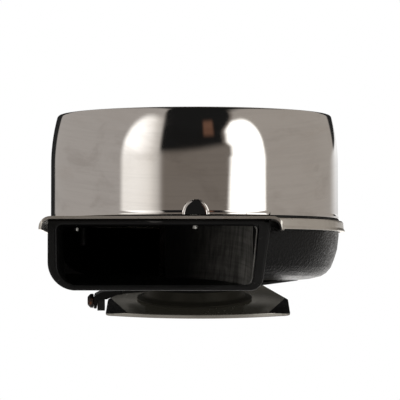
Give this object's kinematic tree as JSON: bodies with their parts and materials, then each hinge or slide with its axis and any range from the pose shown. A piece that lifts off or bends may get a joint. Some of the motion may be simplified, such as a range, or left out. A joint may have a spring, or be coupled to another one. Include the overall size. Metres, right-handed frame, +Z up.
{
  "type": "air filter housing",
  "caption": "Round air filter housing: chromed lift-off cover over a paper element, black lower housing with a flat rectangular intake snorkel, and an outlet neck on a polished mounting plate.",
  "frame": {"origin": "on the table under the middle of the object, on the underside of the mounting plate", "axes": "+Z up, -Y out of the intake mouth, +X to the right when looking into the mouth; the cover's axis leans 10 degrees from +Z towards +Y"},
  "size_m": [0.1886, 0.2076, 0.1306],
  "materials": {
    "chrome": "polished, lightly smudged",
    "satin_steel": "satin, plated",
    "polished_plate": "polished",
    "black_plastic": "moulded, coarse grain outside",
    "black_rubber": "matt",
    "filter_paper": "pleated",
    "zinc": "zinc plated",
    "black_steel": "black, worn",
    "rusty_steel": "rusty"
  },
  "bodies": {
    "housing": {"cover_gasket": "black_rubber", "base_plate": "satin_steel", "lower_housing": "black_plastic", "rim_screw_1": "zinc", "rim_screw_2": "zinc", "rim_screw_3": "zinc", "rim_screw_4": "zinc", "rim_screw_5": "zinc", "rim_screw_6": "zinc", "outlet_tube": "zinc", "stud_bridge": "zinc", "centre_stud": "zinc", "stud_lock_nut": "zinc", "mounting_plate": "polished_plate", "outlet_neck": "black_steel", "stay_bracket": "black_steel", "stay_bolt": "rusty_steel", "stay_bush": "black_rubber", "outlet_gasket": "black_rubber", "outlet_bolt_1": "zinc", "outlet_bolt_2": "zinc", "outlet_bolt_3": "zinc", "outlet_bolt_4": "zinc"},
    "cover": {"cover": "chrome", "nut_seal_washer": "black_rubber", "nut_washer": "zinc"},
    "nut": {"cover_nut": "zinc"},
    "element": {"element_paper": "filter_paper", "element_bottom_seal": "black_rubber", "element_top_seal": "black_rubber", "element_core": "zinc"}
  },
  "joints": [
    {"name": "cover_lift", "type": "slide", "parent": "housing", "child": "cover", "axis": [0, 0.1736, 0.9848], "range_m": [0, 0.14]},
    {"name": "nut_turn", "type": "hinge", "parent": "cover", "child": "nut", "pos_m": [0, 0.01838, 0.11353], "axis": [0, 0.1736, 0.9848], "continuous": true},
    {"name": "element_lift", "type": "slide", "parent": "housing", "child": "element", "axis": [0, 0.1736, 0.9848], "range_m": [0, 0.07]}
  ],
  "couplings": [
    {"joint": "element_lift", "follows": "cover_lift", "ratio": 0.5}
  ]
}
